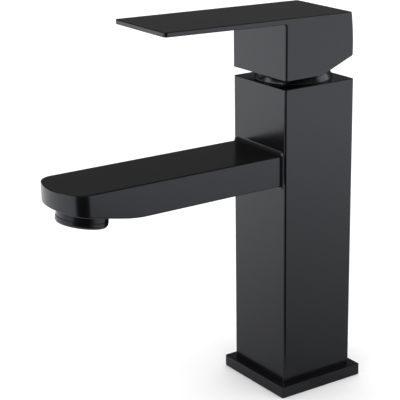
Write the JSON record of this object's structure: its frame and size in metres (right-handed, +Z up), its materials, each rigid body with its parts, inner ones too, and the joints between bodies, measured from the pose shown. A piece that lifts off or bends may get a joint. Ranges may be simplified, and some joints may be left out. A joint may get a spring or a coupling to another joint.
{
  "type": "basin mixer faucet",
  "caption": "Single-lever basin mixer: square column on a square flange, flat straight spout with a tilted aerator, and a flat lever that lifts and turns.",
  "frame": {"origin": "where the column's axis meets the deck, in the plane of the flange's underside", "axes": "+Z up along the column; the spout and the lever point along -Y; +X is to the right of someone facing the spout's front"},
  "size_m": [0.0536, 0.1736, 0.2065],
  "materials": {
    "black_coating": "satin black coating on brass",
    "seal_rubber": "matte",
    "pale_plastic": "moulded",
    "dark_plastic": "moulded",
    "disc_ceramic": "lapped",
    "bare_brass": "machined",
    "steel": "machined",
    "index_marker": "gloss, half red and half blue"
  },
  "bodies": {
    "fixed": {"base_flange": "black_coating", "base_gasket": "seal_rubber", "column": "black_coating", "spout": "black_coating", "dome_cap": "black_coating", "cartridge_base": "pale_plastic", "seal_hot": "seal_rubber", "seal_cold": "seal_rubber", "seal_outlet": "seal_rubber", "fixed_disc": "disc_ceramic", "cartridge_housing": "pale_plastic", "cartridge_nut": "bare_brass", "aerator_housing": "black_coating", "aerator_insert": "pale_plastic", "aerator_screen": "steel", "aerator_washer": "seal_rubber"},
    "turner": {"rotor": "dark_plastic", "pivot_pin": "steel"},
    "lever": {"handle": "black_coating", "lever_stem": "bare_brass", "grub_screw": "steel", "index_cap": "index_marker"},
    "slider": {"moving_disc": "disc_ceramic", "disc_carrier": "dark_plastic"}
  },
  "joints": [
    {"name": "temperature_turn", "type": "hinge", "parent": "fixed", "child": "turner", "pos_m": [0, 0, 0.168], "axis": [0, 0, 1], "range_deg": [-45, 45]},
    {"name": "lever_lift", "type": "hinge", "parent": "turner", "child": "lever", "pos_m": [0, 0, 0.168], "axis": [-1, 0, 0], "range_deg": [0, 20]},
    {"name": "disc_slide", "type": "slide", "parent": "turner", "child": "slider", "axis": [0, -1, 0], "range_m": [0, 0.0047]}
  ],
  "couplings": [
    {"joint": "disc_slide", "follows": "lever_lift", "m_per_rad": 0.01333}
  ]
}
